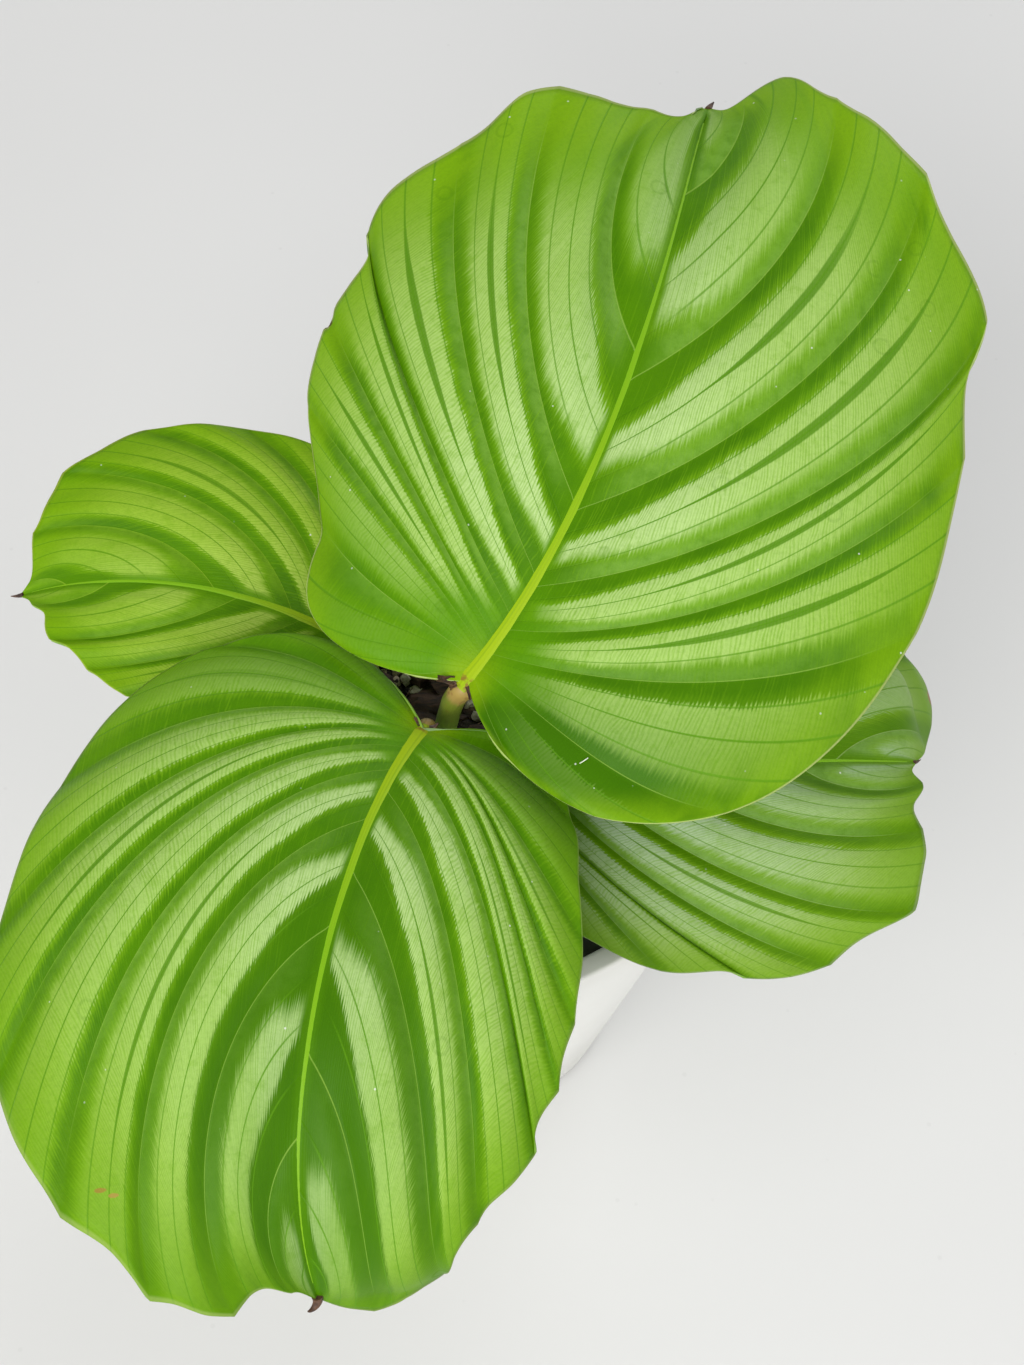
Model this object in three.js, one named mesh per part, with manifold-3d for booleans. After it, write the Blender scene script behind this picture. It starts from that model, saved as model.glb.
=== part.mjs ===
// A young round-leaf calathea in a tapered white pot, in millimetres, +Z up.
// The origin is at the middle of the pot's foot, and the front of the plant faces -Y.

import * as THREE from 'three';
import { mergeVertices } from 'three/addons/utils/BufferGeometryUtils.js';
import Module from 'manifold-3d';

const wasm = await Module();
wasm.setup();

// Pots and mix
const potHeight = 155;
const potTopRadius = 80;
const potFootRadius = 48;
const potWall = 6;
const potFloor = 6;
const potEdge = 1.6;
const potSides = 48;
const gap = 0.3;

const growTop = 151;
const growLip = 5;
const growLipDepth = 7;
const growWall = 1.6;
const growFloor = 2;
const growClearance = 0.7;
const drainHoleRadius = 4;
const drainHoleCircle = 24;
const drainHoles = 5;
const drainHoleSides = 12;
const growEdge = 1;

const mixTop = 134;
const mixRelief = 1.4;
const mixRings = 7;
const mixSides = 36;
const mixSeed = 41;
const bark = { pieces: 22, sides: 5, smallest: 4, range: 5 };
const perlite = { pieces: 20, smallest: 1.4, range: 1.2 };
const lumpForm = { narrowest: 0.55, narrowing: 0.4, tilt: 0.5, sink: 0.2 };

// Leaves
const bladeThickness = 0.8;
const baseAngle = 180;
const rowsPerPleat = 4;
const acrossSteps = [0, 0.1, 0.27, 0.46, 0.65, 0.83, 1];
const veinHandle = 0.34;
const leavingAngle = [40, 0.3];
const arrivingAngle = [-25, 0.4];
const straightFrom = 80;
const foldStart = 0.6;
const tipReach = 1.2;
const lobeDepth = 0.035;
const lobeStart = 12;
const lobeEnd = 120;
const radiusCrowding = 0.65;
const pleatFade = { outward: 0.25, reach: 40, degrees: 10 };
const stalkSides = 8;
const stalkDepth = 30;
const stalkSteps = 12;
const ribSteps = 11;
const ribEnd = 0.9;
const ribTaper = { start: 0.95, loss: 0.78, power: 0.7, sink: 0.55 };
const stalkUpright = 0.55;
const stalkJoint = { swelling: 0.12, place: 0.93, spread: 0.08 };
const holeSteps = 8;

// Colours and roughness
const finishes = {
  pot: [0xecebe4, 0.35],
  growPot: [0x26282a, 0.45],
  mix: [0x33261c, 0.95],
};
const leafRoughness = 0.42;

// Each leaf is set out by its midrib, four points from the blade's base to its tip.
// The outline is given by radii from the middle of the midrib, thirteen on each side from tip to
// base, closer together near the tip.
// Ridge, fall and fold are slopes of the blade across the midrib, and roll tilts it, in degrees.
// Pleats are counted on each side. Phase shifts them, spread crowds them towards the tip at the
// margin, and crowding gathers the veins towards the base at the midrib, for left and right.
const leaves = [
  {
    name: 'leaf_1',
    colour: 0x69a52d,
    midrib: [[3, -21, 215], [43, 13, 250], [56, 82, 276], [68, 140, 252]],
    left: [100, 84, 78, 80, 84, 80, 88, 80, 84, 91, 100, 117, 93.5],
    right: [100, 91, 100, 89, 90, 88, 91, 83, 86, 95, 106, 105, 93.5],
    halfWidth: 80,
    ridge: 0.30,
    fall: [0.45, 0.48],
    fold: 0.45,
    roll: 0,
    pleats: 8,
    pleatSlope: 0.09,
    spread: 1.25,
    phase: [0.75, 0.5],
    crowding: [[17.5, 0.58], [30, 0.82]],
    foot: [-6, -3],
    bend: 4,
    stalkRadius: 2.9,
  },
  {
    name: 'leaf_2',
    colour: 0x6fae35,
    midrib: [[-7, -28, 205], [-27, -68, 222], [-39, -142, 216], [-30, -156, 160]],
    left: [78, 83, 84, 80, 69, 68, 61, 58, 58, 63, 73, 91, 77.5],
    right: [78, 69, 66, 69, 67, 69, 75, 77, 82, 89, 100, 99, 77.5],
    halfWidth: 70,
    ridge: 0.30,
    fall: [0.72, 0.42],
    fold: 0.45,
    roll: 0,
    pleats: 9,
    pleatSlope: 0.09,
    spread: 1.5,
    phase: [0, 0.75],
    crowding: [[15, 0.77], [17, 0.77]],
    foot: [-20, -16],
    bend: 10,
    stalkRadius: 2.7,
  },
  {
    name: 'leaf_3',
    colour: 0x5f9a26,
    midrib: [[-27, 15, 178], [-56, 30, 188], [-94, 36, 186], [-123, 39, 168]],
    left: [52, 47, 42, 41, 37, 35, 35, 34, 37, 42, 47, 50, 51],
    right: [52, 47, 47, 46, 48, 49, 51, 51, 51, 54, 52, 51, 51],
    halfWidth: 48,
    ridge: 0.22,
    fall: [0.35, 0.30],
    fold: 0.30,
    roll: 15,
    pleats: 7,
    pleatSlope: 0.08,
    spread: 1.3,
    phase: [0.5, 0.25],
    crowding: [[22, 0.8], [22, 0.8]],
    foot: [-22, 2],
    bend: 8,
    stalkRadius: 2.2,
  },
  {
    name: 'leaf_4',
    colour: 0x5b9638,
    midrib: [[12, -28, 174], [46, -26, 190], [112, -28, 190], [128, -11, 160]],
    left: [56, 66, 84, 80, 62, 57, 54, 53, 54, 57, 59, 62, 63],
    right: [56, 49, 49, 46, 52, 56, 54, 55, 52, 56, 61, 68, 63],
    halfWidth: 57,
    ridge: 0.22,
    fall: [0.33, 0.54],
    fold: 0.30,
    roll: -12,
    pleats: 8,
    pleatSlope: 0.08,
    spread: 1.3,
    phase: [0.5, 0.75],
    crowding: [[24, 0.8], [24, 0.8]],
    foot: [8, -12],
    bend: 8,
    stalkRadius: 2.4,
  },
];

// Repeatable random numbers between 0 and 1
function randomSource(seed) {
  let state = seed;
  return () => {
    state = (state * 16807) % 2147483647;
    return state / 2147483647;
  };
}

// Solids and meshes
function toSolid(geometry) {
  const bare = geometry.clone();
  bare.deleteAttribute('normal');
  bare.deleteAttribute('uv');
  const merged = mergeVertices(bare, 1e-4);
  return new wasm.Manifold(new wasm.Mesh({
    numProp: 3,
    vertProperties: new Float32Array(merged.attributes.position.array),
    triVerts: new Uint32Array(merged.index.array),
  }));
}

function toGeometry(solid) {
  const mesh = solid.getMesh();
  const geometry = new THREE.BufferGeometry();
  geometry.setAttribute('position', new THREE.BufferAttribute(new Float32Array(mesh.vertProperties), 3));
  geometry.setIndex(new THREE.BufferAttribute(new Uint32Array(mesh.triVerts), 1));
  geometry.computeVertexNormals();
  return geometry;
}

function indexedGeometry(points, triangles) {
  const geometry = new THREE.BufferGeometry();
  const flat = points.flatMap((point) => [point.x, point.y, point.z]);
  geometry.setAttribute('position', new THREE.Float32BufferAttribute(flat, 3));
  geometry.setIndex(triangles);
  return geometry;
}

function turned(profile, sides) {
  const points = profile.map(([radius, height]) => new THREE.Vector2(radius, height));
  const geometry = new THREE.LatheGeometry(points, sides);
  geometry.rotateX(Math.PI / 2);
  return geometry;
}

function cylinderAt(x, y, low, high, radius, sides) {
  const geometry = new THREE.CylinderGeometry(radius, radius, high - low, sides);
  geometry.rotateX(Math.PI / 2);
  geometry.translate(x, y, (low + high) / 2);
  return geometry;
}

function named(name, geometry, colour, roughness) {
  const material = new THREE.MeshStandardMaterial({ color: colour, roughness, metalness: 0 });
  const mesh = new THREE.Mesh(geometry, material);
  mesh.name = name;
  return mesh;
}

// Pots
function potRadiusAt(height) {
  return potFootRadius + (potTopRadius - potFootRadius) * (height / potHeight);
}

function innerRadiusAt(height) {
  return potRadiusAt(height) - potWall;
}

function outerPot() {
  const e = potEdge;
  const profile = [
    [0, 0],
    [potFootRadius - e, 0],
    [potRadiusAt(e), e],
    [potRadiusAt(potHeight / 2), potHeight / 2],
    [potRadiusAt(potHeight - e), potHeight - e],
    [potTopRadius - e * 0.5, potHeight - e * 0.35],
    [potTopRadius - e, potHeight],
    [innerRadiusAt(potHeight) + e * 0.6, potHeight],
    [innerRadiusAt(potHeight - e * 0.6), potHeight - e * 0.6],
    [innerRadiusAt(potHeight / 2), potHeight / 2],
    [innerRadiusAt(potFloor), potFloor],
    [0, potFloor],
  ];
  return turned(profile, potSides);
}

const growFoot = potFloor + gap;
const growFootRadius = innerRadiusAt(growFoot) - growClearance;
const growTopRadius = innerRadiusAt(growTop) - growClearance;
const growNeck = growTop - growLipDepth;
const growNeckRadius = innerRadiusAt(growNeck) - growClearance - growLip + growWall;

function growPot() {
  const profile = [
    [0, growFoot],
    [growFootRadius, growFoot],
    [growNeckRadius, growNeck],
    [growTopRadius - growEdge, growNeck],
    [growTopRadius, growTop - growEdge],
    [growTopRadius - growEdge, growTop],
    [growTopRadius - growLip, growTop],
    [growNeckRadius - growWall, growNeck],
    [growFootRadius - growWall, growFoot + growFloor],
    [0, growFoot + growFloor],
  ];
  let solid = toSolid(turned(profile, potSides));
  for (let i = 0; i < drainHoles; i += 1) {
    const angle = (i / drainHoles) * 2 * Math.PI;
    const x = drainHoleCircle * Math.cos(angle);
    const y = drainHoleCircle * Math.sin(angle);
    const top = growFoot + growFloor + 1;
    const hole = cylinderAt(x, y, growFoot - 1, top, drainHoleRadius, drainHoleSides);
    solid = solid.subtract(toSolid(hole));
  }
  return toGeometry(solid);
}

// Leaf surface
function vector(values) {
  return new THREE.Vector3(...values);
}

function cubicThrough(values, position) {
  const last = values.length - 1;
  const i = Math.min(Math.floor(position * last), last - 1);
  const t = position * last - i;
  const before = values[Math.max(i - 1, 0)];
  const here = values[i];
  const next = values[i + 1];
  const after = values[Math.min(i + 2, last)];
  const inSlope = i === 0 ? 0 : (next - before) / 2;
  const outSlope = i === last - 1 ? 0 : (after - here) / 2;
  const t2 = t * t;
  const t3 = t2 * t;
  return here * (2 * t3 - 3 * t2 + 1) + inSlope * (t3 - 2 * t2 + t)
    + next * (3 * t2 - 2 * t3) + outSlope * (t3 - t2);
}

const { degToRad } = THREE.MathUtils;
const inRange = (value, low, high) => Math.min(Math.max(value, low), high);

class Blade {
  constructor(leaf) {
    this.leaf = leaf;
    this.curve = new THREE.CubicBezierCurve3(...leaf.midrib.map(vector));
    this.length = this.curve.getLength();
    this.middle = this.length / 2;
  }

  // The midrib's point and the directions to the right of it and out of the blade
  frame(distance) {
    const held = inRange(distance, 0, this.length);
    const forward = this.curve.getTangentAt(held / this.length);
    const point = this.curve.getPointAt(held / this.length).addScaledVector(forward, distance - held);
    const level = forward.clone().cross(new THREE.Vector3(0, 0, 1)).normalize();
    const up = level.clone().cross(forward);
    const roll = degToRad(this.leaf.roll);
    const right = level.clone().multiplyScalar(Math.cos(roll)).addScaledVector(up, Math.sin(roll));
    const normal = up.multiplyScalar(Math.cos(roll)).addScaledVector(level, -Math.sin(roll));
    return { point, right, normal };
  }

  // A point of the blade from its distance along the midrib and across it
  lift(distance, across, extra) {
    const { leaf, length } = this;
    const { point, right, normal } = this.frame(distance);
    const share = Math.abs(across) / leaf.halfWidth;
    const fall = across > 0 ? leaf.fall[1] : leaf.fall[0];
    const toTip = inRange((distance / length - foldStart) / (1 - foldStart), 0, tipReach);
    const slope = leaf.ridge + leaf.fold * toTip * toTip;
    const height = leaf.halfWidth * (slope * share - fall * share * share) + extra;
    return point.addScaledVector(right, across).addScaledVector(normal, height);
  }

  // Along runs from 0 at the tip to 1 at the base, and outward from 0 at the midrib to 1 at the
  // margin, on a vein that leaves the midrib at a slant and bends towards the tip. Towards the
  // base the veins are straighter, so that none crosses the next.
  surface(side, along, outward) {
    const { leaf, length, middle } = this;
    const which = side > 0 ? 1 : 0;
    const degrees = baseAngle * along ** leaf.spread;
    const angle = degToRad(degrees);
    const bulge = Math.abs(Math.sin(Math.PI * (along * leaf.pleats - leaf.phase[which])));
    const lobeShare = Math.max(Math.cos((Math.PI / 2) * (degrees / lobeEnd)), 0);
    const farEnd = lobeShare * Math.min(degrees / lobeStart, 1);
    const radii = side > 0 ? leaf.right : leaf.left;
    const outline = cubicThrough(radii, (degrees / baseAngle) ** radiusCrowding);
    const radius = outline * (1 + lobeDepth * farEnd * (0.5 - bulge));
    const end = new THREE.Vector2(middle + radius * Math.cos(angle), radius * Math.sin(angle));
    const [scale, power] = leaf.crowding[which];
    const gathered = (degrees / scale) ** power;
    const start = new THREE.Vector2(length * Math.exp(-gathered), 0);
    const reach = start.distanceTo(end);
    const straightness = inRange((degrees - straightFrom) / (baseAngle - straightFrom), 0, 1);
    const chord = Math.atan2(end.y, end.x - start.x);
    const handle = (slopes) => {
      const bent = degToRad(slopes[0] + slopes[1] * degrees);
      const slant = bent + (chord - bent) * straightness;
      return new THREE.Vector2(Math.cos(slant), Math.sin(slant)).multiplyScalar(reach * veinHandle);
    };
    const vein = new THREE.CubicBezierCurve(
      start,
      start.clone().add(handle(leavingAngle)),
      end.clone().sub(handle(arrivingAngle)),
      end,
    );
    const place = vein.getPoint(outward);
    const turn = baseAngle * leaf.spread * Math.max(along, 1e-6) ** (leaf.spread - 1) / leaf.pleats;
    const inner = start.x * gathered * power * (turn / Math.max(degrees, 1));
    const spacing = (1 - outward) * inner + outward * radius * degToRad(turn);
    const fade = Math.min(outward / pleatFade.outward, 1)
      * Math.min(reach / pleatFade.reach, 1)
      * Math.min(degrees / pleatFade.degrees, 1);
    const height = leaf.pleatSlope * spacing * fade * (bulge - 0.5);
    return this.lift(place.x, side * Math.max(place.y, 0), height);
  }
}

// The grid of one face: the left margin, the midrib and the right margin, from tip to base
function bladeGrid(blade) {
  const rows = blade.leaf.pleats * rowsPerPleat;
  const across = [
    ...acrossSteps.slice(1).reverse().map((step) => [-1, step]),
    ...acrossSteps.map((step) => [1, step]),
  ];
  const grid = [];
  for (let row = 0; row <= rows; row += 1) {
    grid.push(across.map(([side, step]) => blade.surface(side, row / rows, step)));
  }
  return grid;
}

// A closed blade whose two faces are split alike
function bladeSolid(blade) {
  const grid = bladeGrid(blade);
  const columns = grid[0].length;
  const upper = grid.flat();
  const faces = [];
  for (let row = 0; row < grid.length - 1; row += 1) {
    for (let column = 0; column < columns - 1; column += 1) {
      const a = row * columns + column;
      const b = a + 1;
      const c = a + columns;
      const d = c + 1;
      if (column < (columns - 1) / 2) {
        faces.push([a, c, d], [a, d, b]);
      } else {
        faces.push([a, c, b], [b, c, d]);
      }
    }
  }
  const normals = upper.map(() => new THREE.Vector3());
  for (const [a, b, c] of faces) {
    const edge = upper[b].clone().sub(upper[a]);
    const normal = edge.cross(upper[c].clone().sub(upper[a]));
    normals[a].add(normal);
    normals[b].add(normal);
    normals[c].add(normal);
  }
  const lower = upper.map((point, i) => {
    const inward = normals[i].normalize().multiplyScalar(-bladeThickness);
    return point.clone().add(inward);
  });
  const rim = rimLoop(grid.length, columns);
  const shift = upper.length;
  const triangles = [];
  for (const [a, b, c] of faces) {
    triangles.push(a, b, c, a + shift, c + shift, b + shift);
  }
  for (let i = 0; i < rim.length; i += 1) {
    const a = rim[i];
    const b = rim[(i + 1) % rim.length];
    triangles.push(a, a + shift, b, b, a + shift, b + shift);
  }
  return toSolid(indexedGeometry([...upper, ...lower], triangles));
}

// The grid's border, in the order in which the upper face's triangles run
function rimLoop(rows, columns) {
  const loop = [];
  for (let row = 0; row < rows; row += 1) loop.push(row * columns);
  for (let column = 1; column < columns; column += 1) loop.push((rows - 1) * columns + column);
  for (let row = rows - 2; row >= 0; row -= 1) loop.push(row * columns + columns - 1);
  for (let column = columns - 2; column > 0; column -= 1) loop.push(column);
  return loop;
}

// Stalks
function stalkCurve(leaf) {
  const [base, next] = leaf.midrib.map(vector);
  const forward = next.clone().sub(base).normalize();
  const foot = new THREE.Vector3(leaf.foot[0], leaf.foot[1], mixTop - stalkDepth);
  const rise = base.z - foot.z;
  const lower = foot.clone().add(new THREE.Vector3(0, 0, rise * stalkUpright));
  const upper = base.clone().addScaledVector(forward, -leaf.bend);
  return new THREE.CubicBezierCurve3(foot, lower, upper, base);
}

// Points and radii from the foot of the stalk to the thin end of the midrib under the blade
function stalkStations(leaf) {
  const blade = new Blade(leaf);
  const lower = stalkCurve(leaf);
  const stations = [];
  for (let i = 0; i < stalkSteps; i += 1) {
    const t = i / stalkSteps;
    const fromJoint = (t - stalkJoint.place) / stalkJoint.spread;
    const swelling = 1 + stalkJoint.swelling * Math.exp(-(fromJoint ** 2));
    stations.push({ point: lower.getPointAt(t), radius: leaf.stalkRadius * swelling });
  }
  for (let i = 0; i <= ribSteps; i += 1) {
    const share = i / ribSteps;
    const radius = leaf.stalkRadius * (ribTaper.start - ribTaper.loss * share ** ribTaper.power);
    const { point, normal } = blade.frame(share * ribEnd * blade.length);
    const depth = ribTaper.sink * radius + bladeThickness / 4;
    stations.push({ point: point.addScaledVector(normal, -depth), radius });
  }
  return stations;
}

function tubeThrough(stations, sides) {
  const points = [];
  let guide = new THREE.Vector3(1, 0, 0);
  stations.forEach(({ point, radius }, i) => {
    const before = stations[Math.max(i - 1, 0)].point;
    const after = stations[Math.min(i + 1, stations.length - 1)].point;
    const forward = after.clone().sub(before).normalize();
    guide = guide.addScaledVector(forward, -guide.dot(forward)).normalize();
    const other = forward.clone().cross(guide);
    for (let k = 0; k < sides; k += 1) {
      const angle = (k / sides) * 2 * Math.PI;
      const offset = guide.clone().multiplyScalar(radius * Math.cos(angle));
      points.push(point.clone().add(offset).addScaledVector(other, radius * Math.sin(angle)));
    }
  });
  const triangles = [];
  const last = (stations.length - 1) * sides;
  for (let i = 0; i < stations.length - 1; i += 1) {
    for (let k = 0; k < sides; k += 1) {
      const a = i * sides + k;
      const b = i * sides + ((k + 1) % sides);
      triangles.push(a, b, a + sides, b, b + sides, a + sides);
    }
  }
  for (let k = 1; k < sides - 1; k += 1) {
    triangles.push(0, k + 1, k, last, last + k, last + k + 1);
  }
  return indexedGeometry(points, triangles);
}

function leafGeometry(leaf) {
  const blade = bladeSolid(new Blade(leaf));
  const stalk = toSolid(tubeThrough(stalkStations(leaf), stalkSides));
  return toGeometry(blade.add(stalk));
}

// The stalk's buried end, grown by the gap, to cut its hole
function stalkHole(leaf) {
  const lower = stalkCurve(leaf);
  const foot = lower.getPointAt(0);
  const radius = leaf.stalkRadius + gap;
  const stations = [{ point: foot.clone().setZ(foot.z - gap), radius }];
  for (let i = 0; i <= holeSteps; i += 1) {
    stations.push({ point: lower.getPointAt(i / stalkSteps), radius });
  }
  return toSolid(tubeThrough(stations, stalkSides));
}

// The mix fills the inner pot, a gap away from its wall
function mixRadiusAt(height) {
  const low = growFoot + growFloor;
  const slope = (growNeckRadius - growFootRadius) / (growNeck - low);
  return growFootRadius - growWall - 2 * gap + slope * (height - low);
}

// A piece of bark or perlite, half sunk in the surface of the mix
function lump(random, shape, size) {
  const distance = (mixRadiusAt(mixTop) - size - 1) * Math.sqrt(random());
  const direction = random() * 2 * Math.PI;
  const solid = shape(size);
  solid.scale(1, lumpForm.narrowest + lumpForm.narrowing * random(), 1);
  solid.rotateX((random() - 0.5) * lumpForm.tilt);
  solid.rotateY((random() - 0.5) * lumpForm.tilt);
  solid.rotateZ(random() * Math.PI);
  const height = mixTop - lumpForm.sink * size;
  solid.translate(distance * Math.cos(direction), distance * Math.sin(direction), height);
  return toSolid(solid);
}

function pottingMix() {
  const bottom = growFoot + growFloor + gap;
  const random = randomSource(mixSeed);
  const points = [new THREE.Vector3(0, 0, mixTop)];
  const topRadius = mixRadiusAt(mixTop);
  for (let ring = 1; ring <= mixRings; ring += 1) {
    for (let k = 0; k < mixSides; k += 1) {
      const angle = ((k + (ring % 2) / 2) / mixSides) * 2 * Math.PI;
      const radius = topRadius * (ring / mixRings);
      const height = mixTop + mixRelief * (random() * 2 - 1) * (ring < mixRings ? 1 : 0);
      points.push(new THREE.Vector3(radius * Math.cos(angle), radius * Math.sin(angle), height));
    }
  }
  for (let k = 0; k < mixSides; k += 1) {
    const angle = ((k + (mixRings % 2) / 2) / mixSides) * 2 * Math.PI;
    const radius = mixRadiusAt(bottom);
    points.push(new THREE.Vector3(radius * Math.cos(angle), radius * Math.sin(angle), bottom));
  }
  points.push(new THREE.Vector3(0, 0, bottom));
  const triangles = [];
  const at = (ring, k) => 1 + (ring - 1) * mixSides + ((k + mixSides) % mixSides);
  for (let k = 0; k < mixSides; k += 1) {
    triangles.push(0, at(1, k), at(1, k + 1));
    for (let ring = 1; ring <= mixRings; ring += 1) {
      const inner = [at(ring, k), at(ring, k + 1)];
      const outer = [at(ring + 1, k), at(ring + 1, k + 1)];
      const skewed = ring < mixRings && ring % 2 === 1;
      if (skewed) {
        triangles.push(inner[0], outer[1], inner[1], inner[0], outer[0], outer[1]);
      } else {
        triangles.push(inner[0], outer[0], inner[1], inner[1], outer[0], outer[1]);
      }
    }
    triangles.push(points.length - 1, at(mixRings + 1, k + 1), at(mixRings + 1, k));
  }
  let solid = toSolid(indexedGeometry(points, triangles));
  const chip = (size) => new THREE.CylinderGeometry(size, size, size, bark.sides);
  const grain = (size) => new THREE.OctahedronGeometry(size);
  for (let i = 0; i < bark.pieces; i += 1) {
    solid = solid.add(lump(random, chip, bark.smallest + bark.range * random()));
  }
  for (let i = 0; i < perlite.pieces; i += 1) {
    solid = solid.add(lump(random, grain, perlite.smallest + perlite.range * random()));
  }
  for (const leaf of leaves) {
    solid = solid.subtract(stalkHole(leaf));
  }
  return toGeometry(solid);
}

const plant = new THREE.Group();
plant.add(named('pot', outerPot(), ...finishes.pot));
plant.add(named('grow_pot', growPot(), ...finishes.growPot));
plant.add(named('potting_mix', pottingMix(), ...finishes.mix));
for (const leaf of leaves) {
  plant.add(named(leaf.name, leafGeometry(leaf), leaf.colour, leafRoughness));
}

export default plant;
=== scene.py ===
import math
import random

import bpy
import numpy as np
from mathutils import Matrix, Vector, noise


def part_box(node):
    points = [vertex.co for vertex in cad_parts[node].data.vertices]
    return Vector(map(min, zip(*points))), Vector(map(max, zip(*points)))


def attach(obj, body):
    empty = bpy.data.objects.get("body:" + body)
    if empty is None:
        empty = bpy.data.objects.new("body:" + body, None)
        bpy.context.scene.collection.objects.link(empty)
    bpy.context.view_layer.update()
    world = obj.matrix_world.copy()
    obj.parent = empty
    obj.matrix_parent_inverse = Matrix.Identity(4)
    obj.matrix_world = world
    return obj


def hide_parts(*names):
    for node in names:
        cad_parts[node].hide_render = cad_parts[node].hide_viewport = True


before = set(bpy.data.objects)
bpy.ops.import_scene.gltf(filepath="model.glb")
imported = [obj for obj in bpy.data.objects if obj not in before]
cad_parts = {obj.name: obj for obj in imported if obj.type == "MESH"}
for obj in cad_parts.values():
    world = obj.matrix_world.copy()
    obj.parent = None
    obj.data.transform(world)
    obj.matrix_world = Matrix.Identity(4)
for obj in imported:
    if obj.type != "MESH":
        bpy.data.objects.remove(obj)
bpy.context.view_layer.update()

mm = 0.001
print("frame loaded")


# small tools for meshes

def setMode(mode):
    bpy.ops.object.mode_set(mode=mode)


def selectOnly(*objects):  # the first one becomes the active one
    if bpy.context.mode != "OBJECT":
        setMode("OBJECT")
    bpy.ops.object.select_all(action="DESELECT")
    for obj in objects:
        obj.select_set(True)
    if objects:
        bpy.context.view_layer.objects.active = objects[0]


def applyPlace():
    bpy.ops.object.transform_apply(location=True, rotation=True, scale=True)


def addPrimitive(kind, name, **settings):  # a new primitive, alone selected
    selectOnly()
    getattr(bpy.ops.mesh, "primitive_" + kind + "_add")(**settings)
    obj = bpy.context.active_object
    obj.name = obj.data.name = name
    return obj


def pointsOf(obj):
    flat = np.zeros(len(obj.data.vertices) * 3)
    obj.data.vertices.foreach_get("co", flat)
    return flat.reshape(-1, 3)


def placePoints(obj, points):
    obj.data.vertices.foreach_set("co", np.asarray(points, float).ravel())
    obj.data.update()


def cornersOf(mesh):  # the vertex at each corner of each face
    corners = np.zeros(len(mesh.loops), int)
    mesh.loops.foreach_get("vertex_index", corners)
    return corners


def selectParts(obj, kind, test):  # edit mode, with the faces or edges that pass the test
    selectOnly(obj)
    setMode("EDIT")
    bpy.ops.mesh.select_mode(type=kind)
    bpy.ops.mesh.select_all(action="DESELECT")
    setMode("OBJECT")
    spots = [v.co for v in obj.data.vertices]
    for part in obj.data.polygons if kind == "FACE" else obj.data.edges:
        part.select = bool(test(part) if kind == "FACE" else test(*(spots[i] for i in part.vertices)))
    setMode("EDIT")


def editWhole(obj, *operators):  # the operators run on the whole mesh
    selectOnly(obj)
    setMode("EDIT")
    bpy.ops.mesh.select_all(action="SELECT")
    for operator in operators:
        operator()
    setMode("OBJECT")


def mergeClose(obj):
    editWhole(obj, lambda: bpy.ops.mesh.remove_doubles(threshold=0.01 * mm),
              lambda: bpy.ops.mesh.normals_make_consistent(inside=False))


def applyModifier(obj, kind, **settings):
    selectOnly(obj)
    modifier = obj.modifiers.new(kind.title(), kind)
    for key, value in settings.items():
        setattr(modifier, key, value)
    bpy.ops.object.modifier_apply(modifier=modifier.name)


def joinAll(pieces, name):
    selectOnly(*pieces)
    bpy.ops.object.join()
    pieces[0].name = pieces[0].data.name = name
    return pieces[0]


def finishPiece(obj, node, materials, smoothAngle=60):  # materials, body and node
    selectOnly(obj)
    applyPlace()
    bpy.ops.object.shade_smooth_by_angle(angle=math.radians(smoothAngle))
    for material in materials:
        obj.data.materials.append(material)
    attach(obj, "root")
    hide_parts(node)


# small tools for materials

def mathStep(operation, swapped=False):  # a method that adds one Math node
    def step(self, *others):
        values = (*others, self) if swapped else (self, *others)
        return self.look.node("ShaderNodeMath", {"operation": operation}, dict(enumerate(values)))
    return step


class Wire:  # a socket that grows Math nodes when it is used in a sum
    __add__, __radd__ = mathStep("ADD"), mathStep("ADD", True)
    __sub__, __rsub__ = mathStep("SUBTRACT"), mathStep("SUBTRACT", True)
    __mul__, __rmul__ = mathStep("MULTIPLY"), mathStep("MULTIPLY", True)
    __abs__, fraction, floor, sine = map(mathStep, ("ABSOLUTE", "FRACT", "FLOOR", "SINE"))
    smaller, larger = mathStep("MINIMUM"), mathStep("MAXIMUM")

    def __init__(self, look, socket):
        self.look, self.socket = look, socket

    def rise(self, low, high):  # 0 below low, 1 above high, smooth between
        sockets = {"Value": self, "From Min": low, "From Max": high}
        kind = {"interpolation_type": "SMOOTHSTEP", "clamp": True}
        return self.look.node("ShaderNodeMapRange", kind, sockets, "Result")


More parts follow.
